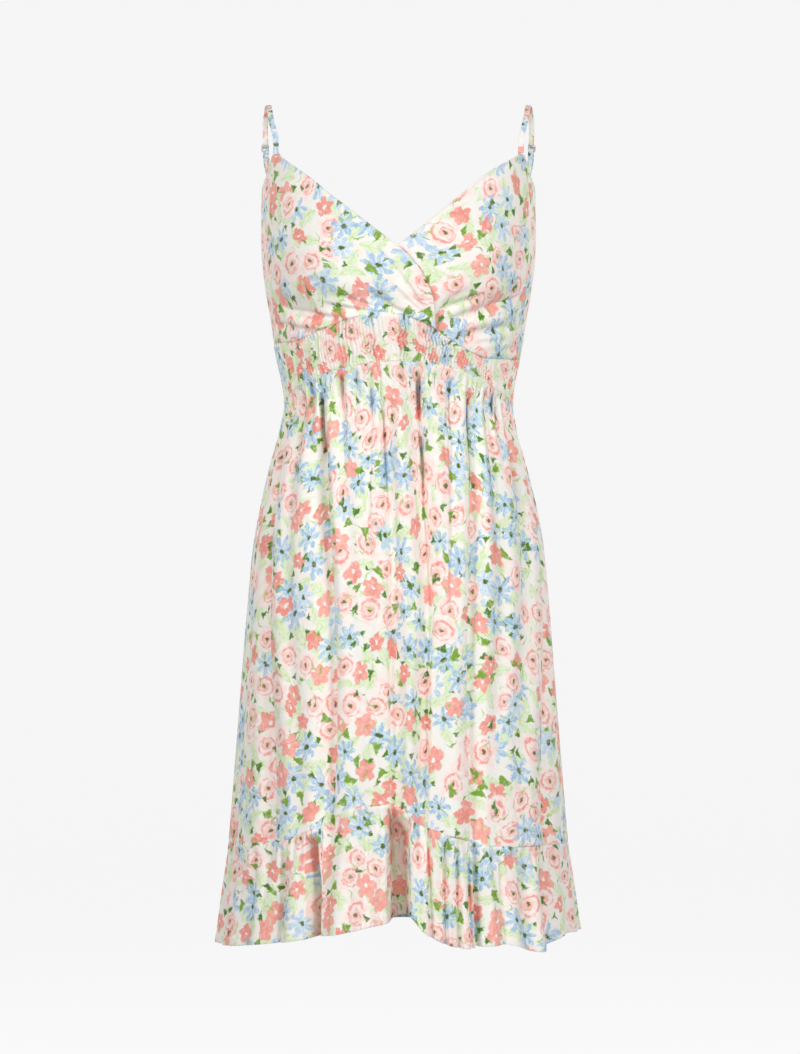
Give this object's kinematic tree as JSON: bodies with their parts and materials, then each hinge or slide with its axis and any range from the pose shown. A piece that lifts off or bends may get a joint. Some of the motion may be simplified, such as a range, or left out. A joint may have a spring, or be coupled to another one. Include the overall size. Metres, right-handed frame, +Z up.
{
  "type": "wrap dress",
  "caption": "Sleeveless mini dress with a crossed wrap-style front, thin adjustable straps, a shirred waistband and a gathered skirt with a ruffled hem, hollow as when worn.",
  "frame": {"origin": "midway between the undersides of the two strap tops, where the shoulders hold the dress", "axes": "+Z up, -Y out of the front, +X towards the wearer's left"},
  "size_m": [0.3906, 0.3103, 0.8945],
  "materials": {
    "printed_cloth": "soft woven viscose in off-white with a coral, blue and green flower print, slight sheen",
    "strap_metal": "small satin metal slider and ring"
  },
  "bodies": {
    "root": {"bodice_front_right": "printed_cloth", "bodice_front_left": "printed_cloth", "bodice_back": "printed_cloth", "waistband_front": "printed_cloth", "waistband_back": "printed_cloth", "skirt_front": "printed_cloth", "skirt_back": "printed_cloth", "ruffle_front": "printed_cloth", "ruffle_back": "printed_cloth", "strap_left": "printed_cloth", "strap_right": "printed_cloth", "strap_tab_left": "printed_cloth", "strap_tab_right": "printed_cloth", "slider_left": "strap_metal", "slider_right": "strap_metal", "ring_left": "strap_metal", "ring_right": "strap_metal"}
  },
  "joints": []
}
